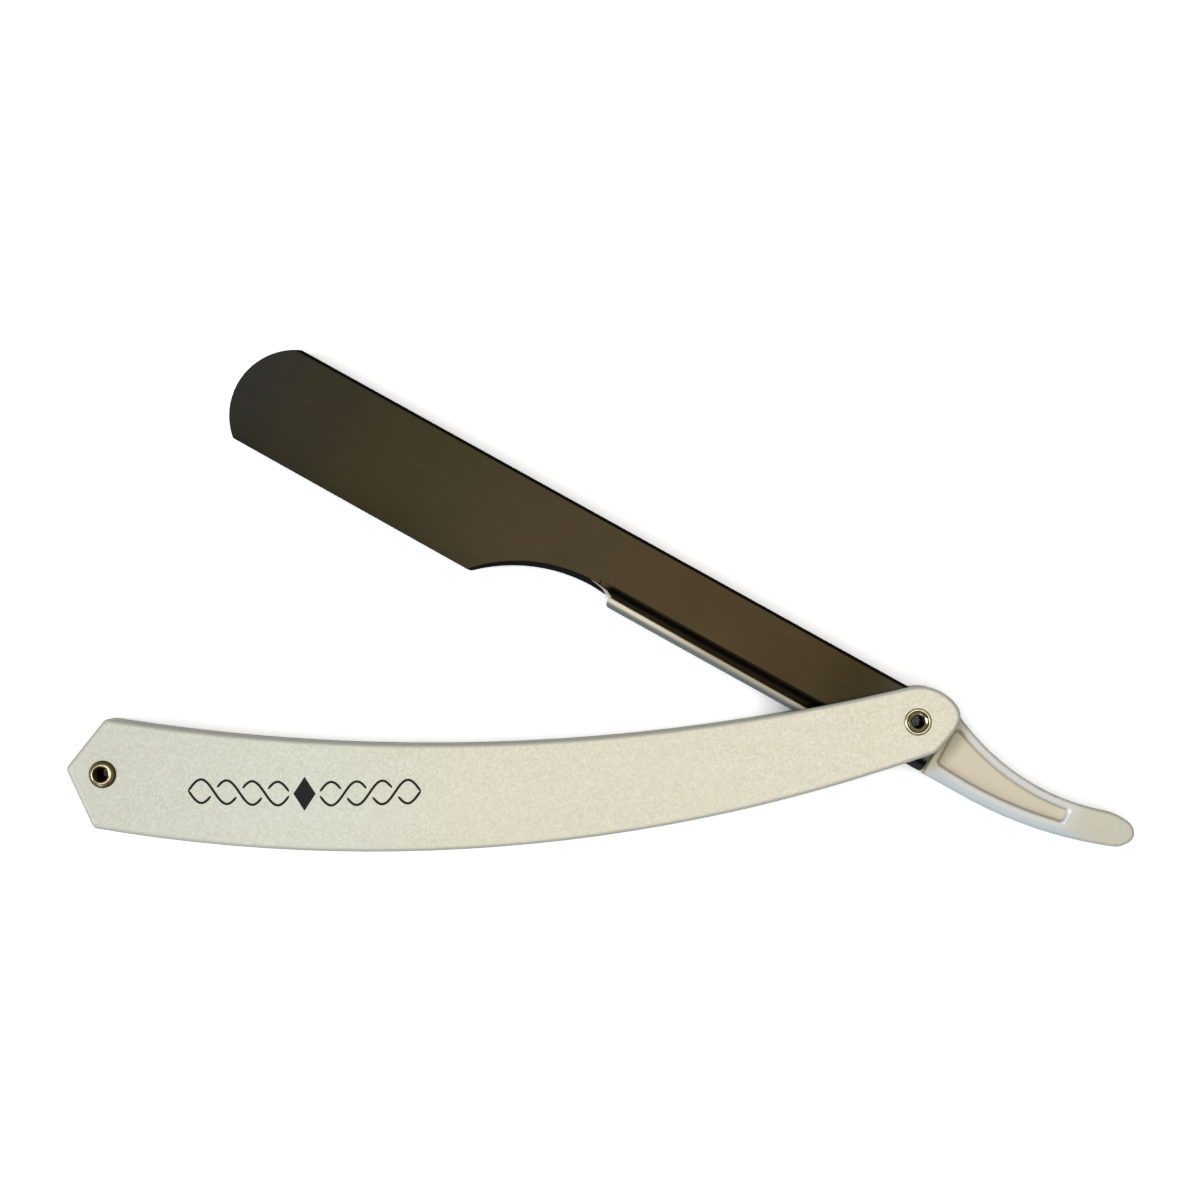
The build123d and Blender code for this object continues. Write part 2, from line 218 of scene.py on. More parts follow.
def calc(tree, operation, *values):
    return add_node(tree, "ShaderNodeMath", dict(enumerate(values)), operation=operation).outputs[0]


def times(tree, first, second):
    """The product of two values: of two masks, what lies under both."""
    return calc(tree, "MULTIPLY", first, second)


def remap(tree, value, from_low, from_high, to_low=0.0, to_high=1.0, smooth=False):
    """Value moved from one range to another and kept inside it."""
    inputs = {"Value": value, "From Min": from_low, "From Max": from_high,
              "To Min": to_low, "To Max": to_high}
    shape = "SMOOTHSTEP" if smooth else "LINEAR"
    return add_node(tree, "ShaderNodeMapRange", inputs, interpolation_type=shape).outputs["Result"]


def blend_colours(tree, share, first, second, mode="MIX"):
    node = add_node(tree, "ShaderNodeMix", data_type="RGBA", blend_type=mode)
    for name, value in (("Factor_Float", share), ("A_Color", first), ("B_Color", second)):
        socket = next(s for s in node.inputs if s.identifier == name)
        if isinstance(value, bpy.types.NodeSocket):
            tree.links.new(value, socket)
        else:
            socket.default_value = value if name == "Factor_Float" else (*value, 1.0)
    return next(s for s in node.outputs if s.identifier == "Result_Color")


def noise(tree, place, feature, detail=2.0, roughness=0.5):
    """Soft noise whose blotches are about one feature (in metres) across."""
    inputs = {"Vector": place, "Scale": 1 / feature, "Detail": detail, "Roughness": roughness}
    return add_node(tree, "ShaderNodeTexNoise", inputs).outputs["Fac"]


def flat_length(tree, place, centre=(0, 0, 0)):
    """How far a place is from the centre, seen along Z."""
    flat = add_node(tree, "ShaderNodeVectorMath", {0: place, 1: (1, 1, 0)}, operation="MULTIPLY")
    return add_node(tree, "ShaderNodeVectorMath", {0: flat.outputs[0], 1: centre},
                    operation="DISTANCE").outputs["Value"]


def cells(tree, place, size):
    """A random shade for each small cell."""
    node = add_node(tree, "ShaderNodeTexVoronoi", {"Vector": place, "Scale": 1 / size})
    return add_node(tree, "ShaderNodeSeparateColor", {"Color": node.outputs["Color"]}).outputs["Red"]


def colour_ramp(tree, share, stops):
    """A colour that runs through (share, colour) stops."""
    node = add_node(tree, "ShaderNodeValToRGB", {"Fac": share})
    ramp = node.color_ramp
    ramp.interpolation = "EASE"
    while len(ramp.elements) < len(stops):
        ramp.elements.new(1.0)
    for element, (position, colour) in zip(ramp.elements, stops):
        element.position = position
        element.color = (*colour, 1.0)
    return node.outputs["Color"]


def object_place(tree):
    return add_node(tree, "ShaderNodeTexCoord").outputs["Object"]


def axis(tree, place, name):
    return add_node(tree, "ShaderNodeSeparateXYZ", {"Vector": place}).outputs[name]


def between(tree, value, low, high, soft):
    """1 where the value lies between low and high, with edges that fade over the soft distance."""
    above = remap(tree, value, low - soft / 2, low + soft / 2, smooth=True)
    below = remap(tree, value, high - soft / 2, high + soft / 2, 1.0, 0.0, smooth=True)
    return times(tree, above, below)


def turned(tree, place, angle, stretch=(1.0, 1.0, 1.0)):
    """The place seen along axes turned about Z, then squeezed, so that noise runs in streaks."""
    straight = add_node(tree, "ShaderNodeMapping", {"Vector": place, "Rotation": (0, 0, angle)})
    return add_node(tree, "ShaderNodeMapping",
                    {"Vector": straight.outputs[0], "Scale": stretch}).outputs[0]


def bump(tree, height, depth):
    inputs = {"Height": height, "Distance": depth, "Strength": 1.0}
    return add_node(tree, "ShaderNodeBump", inputs).outputs["Normal"]


def new_material(name):
    """A material with an empty tree and a Principled shader joined to its output."""
    material = bpy.data.materials.new(name)
    material.use_nodes = True
    tree = material.node_tree
    tree.nodes.clear()
    shader = add_node(tree, "ShaderNodeBsdfPrincipled")
    output = add_node(tree, "ShaderNodeOutputMaterial")
    tree.links.new(shader.outputs[0], output.inputs["Surface"])
    return material, tree, shader


def finish_shader(tree, shader, **inputs):
    """Sets the shader's sockets. Underscores in a name stand for spaces."""
    for name, value in inputs.items():
        socket = shader.inputs[name.replace("_", " ")]
        if isinstance(value, bpy.types.NodeSocket):
            tree.links.new(value, socket)
        else:
            socket.default_value = value


# Materials

def pearl_plastic():
    """Moulded cream plastic with fine pearl flakes under a soft gloss, with painted shade on its rounded
    edges and along the handle towards the tail.
    """
    material, tree, shader = new_material("pearl_plastic")
    place = object_place(tree)
    grain = noise(tree, place, 0.38 * MM, detail=3.0, roughness=0.6)
    flakes = cells(tree, place, 0.38 * MM)
    cloud = noise(tree, place, 16 * MM, detail=3.0)
    flow = noise(tree, turned(tree, place, 0, (0.12, 1, 1)), 3.2 * MM, detail=2.0)
    base = blend_colours(tree, remap(tree, grain, 0.3, 0.7), PEARL_SHADE, PEARL_LIGHT)
    base = blend_colours(tree, remap(tree, cloud, 0.35, 0.65, 0.0, 0.3), base, PEARL_CLOUD)
    base = blend_colours(tree, remap(tree, flow, 0.4, 0.7, 0.0, 0.2), base, PEARL_FLOW)
    sparkle = remap(tree, flakes, 0.8, 1.0, 0.0, 0.3)
    base = blend_colours(tree, sparkle, base, PEARL_FLAKE)
    # Painted shade along the handle: darker and cooler towards the tail
    along = remap(tree, axis(tree, place, "X"), -RIVET_SPACING, 0)
    base = blend_colours(tree, 1.0, base, colour_ramp(tree, along, SCALE_SHADE_TINTS), mode="MULTIPLY")
    # Painted shade on the rounded edges and sides: faces turned away from Z are darker
    normal = add_node(tree, "ShaderNodeTexCoord").outputs["Normal"]
    facing = calc(tree, "ABSOLUTE", axis(tree, normal, "Z"))
    shaded_edges = remap(tree, facing, 0.99, 0.75, smooth=True)
    base = blend_colours(tree, shaded_edges, base, PEARL_EDGE_SHADE)
    relief = calc(tree, "ADD", times(tree, grain, 0.7), times(tree, flakes, 0.3))
    finish_shader(tree, shader, Base_Color=base, Roughness=remap(tree, flakes, 0.0, 1.0, 0.5, 0.36),
                  Coat_Weight=0.2, Coat_Roughness=0.22, Normal=bump(tree, relief, 0.012 * MM))
    return material


def painted_rim_sheen(tree, base, on_arm, height, cloud):
    """Cooler, paler plastic on the rims beside the thumb recess and along the tang's lower edge: a painted
    sheen and a painted blue reflection.
    """
    x = axis(tree, on_arm, "X")
    # Painted sheen on the rims and painted blue reflection on the lower edge
    beside_recess = between(tree, x, RECESS_START_X + 2 * MM, RECESS_END_X + MM, 5 * MM)
    on_face = between(tree, height, 1.5 * MM, TANG_FACE_Z + MM, 0.3 * MM)
    base = blend_colours(tree, times(tree, beside_recess, on_face), base, TANG_RIM_SHEEN)
    from_centre = flat_length(tree, on_arm, TANG_LOW_CENTRE)
    low_edge = between(tree, from_centre, TANG_LOW_R - 1.3 * MM, TANG_LOW_R + MM, 0.6 * MM)
    on_tang = between(tree, x, TANG_START_X, RECESS_END_X + 4 * MM, 6 * MM)
    uneven = remap(tree, cloud, 0.3, 0.7, 0.6, 1.0)
    return blend_colours(tree, times(tree, times(tree, low_edge, on_tang), uneven), base, TANG_LOW_EDGE_REFLECTION)


def thumb_recess(tree, base, on_arm, height):
    """The recess, with light and shade painted in: warm light on the floor, strongest towards the pivot,
    painted shade on the walls and a painted highlight on the end wall.
    """
    x, y = axis(tree, on_arm, "X"), axis(tree, on_arm, "Y")
    inside = between(tree, x, RECESS_START_X, RECESS_WALLS_END_X, 0.5 * MM)
    at_floor = between(tree, height, RECESS_FLOOR_Z - MM, RECESS_FLOOR_Z + 0.15 * MM, 0.2 * MM)
    # Painted warm light on the recess floor, strongest towards the pivot
    warm_light_share = remap(tree, x, RECESS_START_X, RECESS_END_X, 1.0, 0.5)
    base = blend_colours(tree, times(tree, times(tree, inside, at_floor), warm_light_share), base, RECESS_FLOOR)
    # Painted shade on the recess walls
    shaded_wall = between(tree, height, RECESS_FLOOR_Z + 0.2 * MM, 1.45 * MM, 0.2 * MM)
    base = blend_colours(tree, times(tree, times(tree, inside, shaded_wall), 0.6), base, RECESS_WALL_SHADE)
    # Painted highlight on the recess's end wall
    at_end = between(tree, x, RECESS_END_X - 0.45 * MM, RECESS_END_X + 0.35 * MM, 0.3 * MM)
    up_end = between(tree, height, RECESS_FLOOR_Z + 0.2 * MM, TANG_FACE_Z + MM, 0.2 * MM)
    across_end = between(tree, y, *RECESS_END_Y, 0.6 * MM)
    end_highlight = times(tree, times(tree, at_end, up_end), across_end)
    return blend_colours(tree, times(tree, end_highlight, 0.8), base, RECESS_END_HIGHLIGHT)


def scales_shadow_on_tang(tree, base, on_arm):
    """Painted shadow of the scales on the tang, where it comes out from between them."""
    # Painted shadow: darker tan on the tang close to the scales' ends
    beside_scales = remap(tree, flat_length(tree, on_arm), SCALE_END_R + 2 * MM, SCALE_END_R, smooth=True)
    out_along_tang = remap(tree, axis(tree, on_arm, "X"), 0, TANG_START_X, 0.0, 0.75)
    return blend_colours(tree, times(tree, beside_scales, out_along_tang), base, SCALE_SHADOW_TAN)


def rail_wear_and_shade(tree, base, on_arm):
    """The rail under the shank: clean near the neck, brown further on, and grey painted shade on its rounded
    lower edge.
    """
    x, y = axis(tree, on_arm, "X"), axis(tree, on_arm, "Y")
    along_rail = between(tree, x, RAIL_START, -RAIL_REAR, 0.4 * MM)
    below_shank = remap(tree, y, RAIL_TOP_Y + 0.3 * MM, RAIL_TOP_Y, smooth=True)
    on_rail = times(tree, along_rail, below_shank)
    worn = remap(tree, x, RAIL_START + 8 * MM, RAIL_START + 20 * MM)
    base = blend_colours(tree, on_rail, base, blend_colours(tree, worn, RAIL_CLEAN, RAIL_WORN))
    # Painted shade on the rail's rounded lower edge
    shaded_low_edge = remap(tree, y, RAIL_SHADE_Y, RAIL_SHADE_Y - 0.35 * MM, smooth=True)
    return blend_colours(tree, times(tree, on_rail, shaded_low_edge), base, RAIL_EDGE_SHADE)


def carrier_plastic():
    """Plain cream plastic with light and shade painted in: a cool sheen on the tang's rims and lower edge,
    warm light, shade and a highlight in the recess, the scales' shadow on the tang, and grey shade along the
    rail's lower edge."""
    material, tree, shader = new_material("carrier_plastic")
    place = object_place(tree)
    on_arm = turned(tree, place, REST_ANGLE)
    height = calc(tree, "ABSOLUTE", axis(tree, place, "Z"))
    cloud = noise(tree, place, 9 * MM, detail=3.0)
    grain = noise(tree, place, 0.35 * MM, detail=2.0)
    lengthwise = turned(tree, place, REST_ANGLE, (0.2, 1, 1))
    scuffs = noise(tree, lengthwise, 0.8 * MM, detail=4.0, roughness=0.7)
    base = blend_colours(tree, remap(tree, cloud, 0.35, 0.65), CREAM_SHADE, CREAM_LIGHT)
    base = blend_colours(tree, remap(tree, scuffs, 0.55, 0.75, 0.0, 0.3), base, CREAM_SCUFF)
    base = painted_rim_sheen(tree, base, on_arm, height, cloud)
    base = thumb_recess(tree, base, on_arm, height)
    base = scales_shadow_on_tang(tree, base, on_arm)
    base = rail_wear_and_shade(tree, base, on_arm)
    relief = calc(tree, "ADD", grain, times(tree, scuffs, 0.5))
    finish_shader(tree, shader, Base_Color=base, Roughness=remap(tree, scuffs, 0.4, 0.7, 0.26, 0.42),
                  Coat_Weight=0.6, Coat_Roughness=0.1, Normal=bump(tree, relief, 0.005 * MM))
    return material


def coated_steel():
    """Sheet steel with a dark brown satin coat, with a painted reflection along the arm and painted shade
    along the fold, the margin's crease and the cut edges.
    """
    material, tree, shader = new_material("dark_coated_steel")
    place = object_place(tree)
    along = turned(tree, place, REST_ANGLE, (0.05, 1, 1))
    cloud = noise(tree, place, 14 * MM, detail=4.0)
    grain = noise(tree, place, 0.3 * MM, detail=3.0)
    streaks = noise(tree, along, 0.5 * MM, detail=3.0, roughness=0.65)
    on_arm = turned(tree, place, REST_ANGLE)
    x, y = axis(tree, on_arm, "X"), axis(tree, on_arm, "Y")
    # Painted reflection: the coat's brightness changes along the arm
    tone_and_reflection = colour_ramp(tree, remap(tree, x, NOSE_X, TANG_START_X), COAT_TONES_AND_REFLECTION)
    base = blend_colours(tree, remap(tree, cloud, 0.3, 0.7, 0.0, 0.12), tone_and_reflection, COAT_CLOUD)
    base = blend_colours(tree, remap(tree, streaks, 0.55, 0.75, 0.0, 0.12), base, COAT_STREAK)
    # Painted shade along the spine's fold and along the crease of the shank's margin
    fold = remap(tree, y, SPINE_Y - 0.6 * MM, SPINE_Y - 0.35 * MM, smooth=True)
    base = blend_colours(tree, fold, base, COAT_FOLD_SHADE)
    across_crease = between(tree, y, CREASE_SHADE_Y - 0.55 * MM, CREASE_SHADE_Y + 0.3 * MM, 0.5 * MM)
    on_shank = remap(tree, x, SHANK_START_X, SHANK_START_X + MM, 0.0, 0.9)
    base = blend_colours(tree, times(tree, across_crease, on_shank), base, COAT_CREASE_SHADE)
    relief = calc(tree, "ADD", grain, times(tree, streaks, 0.4))
    finish_shader(tree, shader, Base_Color=base, Metallic=1.0,
                  Roughness=remap(tree, cloud, 0.3, 0.7, 0.27, 0.33), Normal=bump(tree, relief, 0.003 * MM))
    return material


def inner_shade_steel():
    """The sheet's inner side and its cut edges: matt, near-black painted shade."""
    material, tree, shader = new_material("inner_shade_steel")
    place = object_place(tree)
    grain = noise(tree, place, 0.25 * MM, detail=4.0)
    base = blend_colours(tree, remap(tree, grain, 0.3, 0.7), INNER_SHADE_DARK, INNER_SHADE_LIGHT)
    finish_shader(tree, shader, Base_Color=base, Roughness=remap(tree, grain, 0.3, 0.7, 0.55, 0.75),
                  Specular_IOR_Level=0.15, Normal=bump(tree, grain, 0.006 * MM))
    return material


def brass():
    """Old yellow brass with brown tarnish in patches, and painted shade low on the tail eyelet's outer
    slope.
    """
    material, tree, shader = new_material("brass")
    place = object_place(tree)
    cloud = noise(tree, place, 1.2 * MM, detail=4.0)
    grain = noise(tree, place, 0.12 * MM, detail=3.0)
    base = blend_colours(tree, remap(tree, cloud, 0.3, 0.7), BRASS_SHADE, BRASS_LIGHT)
    tarnish = remap(tree, noise(tree, place, 0.7 * MM, detail=5.0), 0.5, 0.7, 0.0, 0.5)
    base = blend_colours(tree, tarnish, base, BRASS_TARNISH)
    # Painted shade: the tail eyelet's outer slope is darkened brown low on its rim
    at_tail = remap(tree, axis(tree, place, "X"), -RIVET_SPACING / 2, -RIVET_SPACING / 2 - MM)
    low_on_rim = remap(tree, axis(tree, place, "Z"), TAIL_TOP_Z - 0.06 * MM, TAIL_TOP_Z - 0.3 * MM)
    shaded_slope = times(tree, times(tree, at_tail, low_on_rim), 0.8)
    base = blend_colours(tree, shaded_slope, base, BRASS_SLOPE_SHADE)
    finish_shader(tree, shader, Base_Color=base, Metallic=1.0,
                  Roughness=remap(tree, cloud, 0.3, 0.7, 0.14, 0.24), Normal=bump(tree, grain, 0.002 * MM))
    return material


def dirt_and_shade_brass():
    """The eyelets' bores, mouths and grooves and the tail eyelet's foot: nearly black with dirt and painted
    shade.
    """
    material, tree, shader = new_material("dirt_and_shade_brass")
    place = object_place(tree)
    dirt = noise(tree, place, 0.5 * MM, detail=5.0, roughness=0.65)
    base = blend_colours(tree, remap(tree, dirt, 0.35, 0.7), DIRT_DARK, DIRT_BROWN)
    finish_shader(tree, shader, Base_Color=base, Metallic=0.6,
                  Roughness=remap(tree, dirt, 0.3, 0.7, 0.4, 0.6), Normal=bump(tree, dirt, 0.006 * MM))
    return material


def washer_steel():
    """Zinc-grey steel with fine turned marks."""
    material, tree, shader = new_material("washer_steel")
    place = object_place(tree)
    waves = {"Vector": place, "Scale": 1 / (0.25 * MM), "Distortion": 1.5}
    rings = add_node(tree, "ShaderNodeTexWave", waves, wave_type="RINGS", rings_direction="Z").outputs["Fac"]
    cloud = noise(tree, place, 1.5 * MM, detail=4.0)
    base = blend_colours(tree, remap(tree, cloud, 0.3, 0.7), ZINC_SHADE, ZINC_LIGHT)
    finish_shader(tree, shader, Base_Color=base, Metallic=1.0,
                  Roughness=remap(tree, cloud, 0.3, 0.7, 0.28, 0.45), Normal=bump(tree, rings, 0.003 * MM))
    return material


def print_ink():
    """Dark pad-printing ink, slightly thin in places."""
    material, tree, shader = new_material("print_ink")
    place = object_place(tree)
    thin = noise(tree, place, 0.3 * MM, detail=4.0, roughness=0.7)
    base = blend_colours(tree, remap(tree, thin, 0.6, 0.85), INK_THICK, INK_THIN)
    finish_shader(tree, shader, Base_Color=base, Roughness=remap(tree, thin, 0.3, 0.7, 0.55, 0.75),
                  Specular_IOR_Level=0.2, Normal=bump(tree, thin, 0.002 * MM))
    return material


def pale_floor():
    """A white floor that throws back only part of the light, so that the razor's edges stay dark."""
    material, tree, shader = new_material("pale_floor")
    place = object_place(tree)
    mottle = noise(tree, place, 40 * MM, detail=4.0)
    base = blend_colours(tree, remap(tree, mottle, 0.3, 0.7), FLOOR_SHADE, FLOOR_LIGHT)
    finish_shader(tree, shader, Base_Color=base, Roughness=0.8, Specular_IOR_Level=0.2)
    thrown_back = add_node(tree, "ShaderNodeBsdfDiffuse", {"Color": FLOOR_THROWN_BACK})
    seen = add_node(tree, "ShaderNodeLightPath").outputs["Is Camera Ray"]
    mix = add_node(tree, "ShaderNodeMixShader", {0: seen, 1: thrown_back.outputs[0], 2: shader.outputs[0]})
    output = next(node for node in tree.nodes if node.type == "OUTPUT_MATERIAL")
    tree.links.new(mix.outputs[0], output.inputs["Surface"])
    return material


# Pieces

def new_piece(name, mesh, body, materials):
    piece = bpy.data.objects.new(name, mesh)
    bpy.context.scene.collection.objects.link(piece)
    for material in materials:
        mesh.materials.append(material)
    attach(piece, body)
    return piece


def bevelled(mesh, width):
    """The mesh with its marked edges rounded. An edge's bevel weight is its share of the width."""
    holder = bpy.data.objects.new("holder", mesh)
    bpy.context.scene.collection.objects.link(holder)
    modifier = holder.modifiers.new("soft_edges", "BEVEL")
    modifier.width = width
    modifier.segments = BEVEL_STEPS
    modifier.limit_method = "WEIGHT"
    modifier.use_clamp_overlap = False
    modifier.miter_outer = "MITER_ARC"
    bpy.context.view_layer.update()
    result = bpy.data.meshes.new_from_object(holder.evaluated_get(bpy.context.evaluated_depsgraph_get()))
    bpy.data.objects.remove(holder)
    return result


def clean_copy(node, angle, share):
    """A CAD node's mesh with doubled points merged, flat faces joined and sharp edges marked.

    An edge is sharp when its faces meet at more than the angle. The share function gives its
    bevel weight from the place of its middle, seen in the arm's own frame.
    """
    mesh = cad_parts[node].data.copy()
    if "custom_normal" in mesh.attributes:
        mesh.attributes.remove(mesh.attributes["custom_normal"])
    mesh.materials.clear()
    form = bmesh.new()
    form.from_mesh(mesh)
    bmesh.ops.remove_doubles(form, verts=form.verts, dist=SAME_POINT)
    bmesh.ops.dissolve_limit(form, angle_limit=FLAT_ANGLE, verts=form.verts, edges=form.edges)
    weight = form.edges.layers.float.new("bevel_weight_edge")
    for edge in form.edges:
        if edge.is_manifold and edge.calc_face_angle() > angle:
            edge[weight] = share(ARM_TURN @ ((edge.verts[0].co + edge.verts[1].co) / 2))
    form.to_mesh(mesh)
    form.free()
    return mesh


def smooth(piece):
    """Smooth shading between creases, with flat faces kept flat."""
    mesh = piece.data
    for polygon in mesh.polygons:
        polygon.use_smooth = True
    mesh.set_sharp_from_angle(angle=SHARP_ANGLE)
    weighting = piece.modifiers.new("face_weights", "WEIGHTED_NORMAL")
    weighting.keep_sharp = True


def softened(node, body, materials, width, angle=SHARP_ANGLE, share=lambda middle: 1.0):
    """A piece that stands for a CAD node, with soft edges of the given width."""
    mesh = bevelled(clean_copy(node, angle, share), width)
    piece = new_piece(node + "_look", mesh, body, materials)
    smooth(piece)
    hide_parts(node)
    return piece


def tang_share(middle):
    """Bevel weight on the carrier: broad around the thumb recess, narrow on the rest."""
    around_recess = middle.x > TANG_START_X + MM and abs(middle.z) > ACROSS_Z
    return 1.0 if around_recess else NARROW_SHARE


def shade_inside(piece):
    """Gives the shell's inner side and cut edges the second material, the painted shade."""
    for polygon in piece.data.polygons:
        centre, normal = ARM_TURN @ polygon.center, polygon.normal
        height = abs(centre.z)
        inner = height < LEAF_Z - SHEET + TOUCHING and normal.z * centre.z < 0
        on_edge = abs(normal.z) < SIDEWAYS and height < LEAF_Z - TOUCHING
        cut = on_edge and centre.y < SPINE_Y - SHEET
        polygon.material_index = 1 if inner or cut else 0


def revolved(name, profile, x, body, metals, dark, lean=lambda r, z: 0.0, steps=96):
    """A piece turned about the Z axis through x from a closed section of (radius, height) points.

    Faces whose radii all lie in one of the dark (inner, outer) bands take the second metal.
    The lean gives how far a point is moved along X.
    """
    form = bmesh.new()
    rings = []
    for step in range(steps):
        angle = 2 * pi * step / steps
        rings.append([form.verts.new((x + lean(r, z) + r * cos(angle), r * sin(angle), z))
                      for r, z in profile])
    for step in range(steps):
        here, there = rings[step], rings[(step + 1) % steps]
        for i in range(len(profile)):
            j = (i + 1) % len(profile)
            face = form.faces.new((here[i], there[i], there[j], here[j]))
            radii = profile[i][0], profile[j][0]
            darkened = any(inner < min(radii) and max(radii) < outer for inner, outer in dark)
            face.material_index = 1 if darkened else 0
    bmesh.ops.recalc_face_normals(form, faces=form.faces)
    mesh = bpy.data.meshes.new(name)
    form.to_mesh(mesh)
    form.free()
    piece = new_piece(name, mesh, body, metals)
    smooth(piece)
    return piece


def curve_points(start, control, end, steps=10):
    """Points of a smooth bend from start to end, pulled towards the control point."""
    points = []
    for step in range(steps + 1):
        t = step / steps
        points.append(tuple((1 - t)**2 * a + 2 * t * (1 - t) * b + t**2 * c
                            for a, b, c in zip(start, control, end)))
    return points


def dome_points(inner, crest, outer, base_inner, base_outer, top, fall=2.0, steps=14):
    """Points over a rounded rim, from its inner foot over its crest to its outer foot.

    The outer side falls as a power of the way out: 1 would be a cone.
    """
    points = []
    for step in range(steps):
        angle = pi / 2 * step / steps
        points.append((crest - (crest - inner) * cos(angle), base_inner + (top - base_inner) * sin(angle)))
    for step in range(steps + 1):
        way_out = step / steps
        points.append((crest + (outer - crest) * way_out, top - (top - base_outer) * way_out**fall))
    return points


def eyelet_section(front_end):
    """A hollow rivet's section: bore, front end, barrel and clinched back end."""
    flange = BACK_FLANGE_R
    rim_shape = [(flange, 1.0), (flange, 0.45), (flange - 0.06 * MM, 0.16), (flange - 0.2 * MM, 0.02),
                 (flange - 0.45 * MM, 0.0), (1.62 * MM, 0.06)]      # radius, and share of the rim's height
    back_rim = [(r, BACK_END_Z + (BACK_SEAT_Z - BACK_END_Z) * share) for r, share in rim_shape]
    back_mouth = curve_points((1.5 * MM, BACK_END_Z + 0.08 * MM), (1.1 * MM, BACK_END_Z + 0.25 * MM),
                              (BORE_R, BACK_END_Z + FUNNEL_DEPTH))
    return [*front_end, (BARREL_R, BACK_SEAT_Z), *back_rim, *back_mouth]


def tail_eyelet():
    """The tail rivet: a thick domed ring that stands on the front face."""
    top = TAIL_TOP_Z
    mouth_r, crest_r, outer_r = TAIL_RIM_R
    funnel = curve_points((BORE_R, top - FUNNEL_DEPTH), (1.08 * MM, top - 0.5 * MM),
                          (mouth_r - 0.03 * MM, top - 0.33 * MM))
    ring = dome_points(mouth_r, crest_r, outer_r, top - 0.3 * MM, top - 0.6 * MM, top, fall=1.5)
    foot = [(outer_r - 0.15 * MM, FACE_Z), (BARREL_R, FACE_Z)]
    return eyelet_section([*funnel, *ring, *foot])


def tail_lean(r, z):
    """How far the tail eyelet is off centre here: fully at its lip, not at its bore or outer foot."""
    mouth_r, _, outer_r = TAIL_RIM_R
    risen = (z - TAIL_TOP_Z + FUNNEL_DEPTH) / (FUNNEL_DEPTH - 0.4 * MM)
    inward = (outer_r - r) / (outer_r - mouth_r)
    return -MOUTH_OFFSET * max(0.0, min(1.0, risen, inward))


def pivot_eyelet():
    """The pivot rivet: a thin rim and a groove round a wide funnel, sunk in the front scale."""
    top = PIVOT_TOP_Z
    groove_in, groove_out = PIVOT_GROOVE_R
    rim_in, rim_crest, rim_out = PIVOT_RIM_R
    funnel = curve_points((BORE_R, top - 0.7 * MM), (1.1 * MM, top - 0.24 * MM),
                          (groove_in - 0.03 * MM, top - 0.05 * MM))
    groove = [(groove_in + 0.02 * MM, top - 0.07 * MM), (groove_in + 0.06 * MM, top - 0.24 * MM),
              (groove_out - 0.03 * MM, top - 0.26 * MM)]
    rim = dome_points(rim_in, rim_crest, rim_out, top - 0.08 * MM, top - 0.08 * MM, top)
    foot = [(rim_out, PIVOT_SEAT_Z), (BARREL_R, PIVOT_SEAT_Z)]
    return eyelet_section([*funnel, *groove, *rim, *foot])


# Printed ornament: a two-strand braid with a lozenge, in place of any lettering

INK_TOP = FACE_Z + 0.015 * MM
INK_FOOT = FACE_Z - 0.01 * MM
BRAID_START = Vector((-124.6 * MM, -3.7 * MM))
BRAID_END = Vector((-85.2 * MM, -6.3 * MM))
BRAID_SAG = 0.5 * MM
BRAID_WAVES = 4                         # half waves on each side of the lozenge
BRAID_HEIGHT = 2.0 * MM
BRAID_STEPS = 16                        # points on each half wave
STROKE = 0.42 * MM
STROKE_END = 0.55                       # share of the stroke's width at its ends
LOZENGE_CLEARANCE = 1.25                # the braid stops this many half lozenges from the middle
LOZENGE_HALF = (1.9 * MM, 2.9 * MM)
CROSSING_GAP = 0.09                     # share of a half wave left open where a strand passes under


def braid_point(t, offset):
    """A point at share t along the ornament's gently curved middle line, offset across it."""
    along = BRAID_END - BRAID_START
    across = Vector((-along.y, along.x)).normalized()
    return BRAID_START + along * t + across * (offset - BRAID_SAG * sin(pi * t))


def prism(form, outline):
    """A thin closed solid over a flat outline."""
    top = [form.verts.new((p.x, p.y, INK_TOP)) for p in outline]
    foot = [form.verts.new((p.x, p.y, INK_FOOT)) for p in outline]
    form.faces.new(top)
    form.faces.new(reversed(foot))
    for i in range(len(outline)):
        j = (i + 1) % len(outline)
        form.faces.new((top[i], foot[i], foot[j], top[j]))


def stroke(form, points):
    """A thin closed ribbon along the points, narrowed a little at its ends."""
    left, right = [], []
    last = len(points) - 1
    for i, point in enumerate(points):
        heading = (points[min(i + 1, last)] - points[max(i - 1, 0)]).normalized()
        across = Vector((-heading.y, heading.x))
        half = STROKE / 2 * (STROKE_END if i in (0, last) else 1.0)
        left.append(form.verts.new((*(point + across * half), INK_TOP)))
        right.append(form.verts.new((*(point - across * half), INK_TOP)))
    low_left = [form.verts.new((v.co.x, v.co.y, INK_FOOT)) for v in left]
    low_right = [form.verts.new((v.co.x, v.co.y, INK_FOOT)) for v in right]
    for i in range(last):
        form.faces.new((left[i], right[i], right[i + 1], left[i + 1]))
        form.faces.new((low_left[i], low_left[i + 1], low_right[i + 1], low_right[i]))
        form.faces.new((left[i], left[i + 1], low_left[i + 1], low_left[i]))
        form.faces.new((right[i], low_right[i], low_right[i + 1], right[i + 1]))
    form.faces.new((left[0], low_left[0], low_right[0], right[0]))
    form.faces.new((left[last], right[last], low_right[last], low_left[last]))


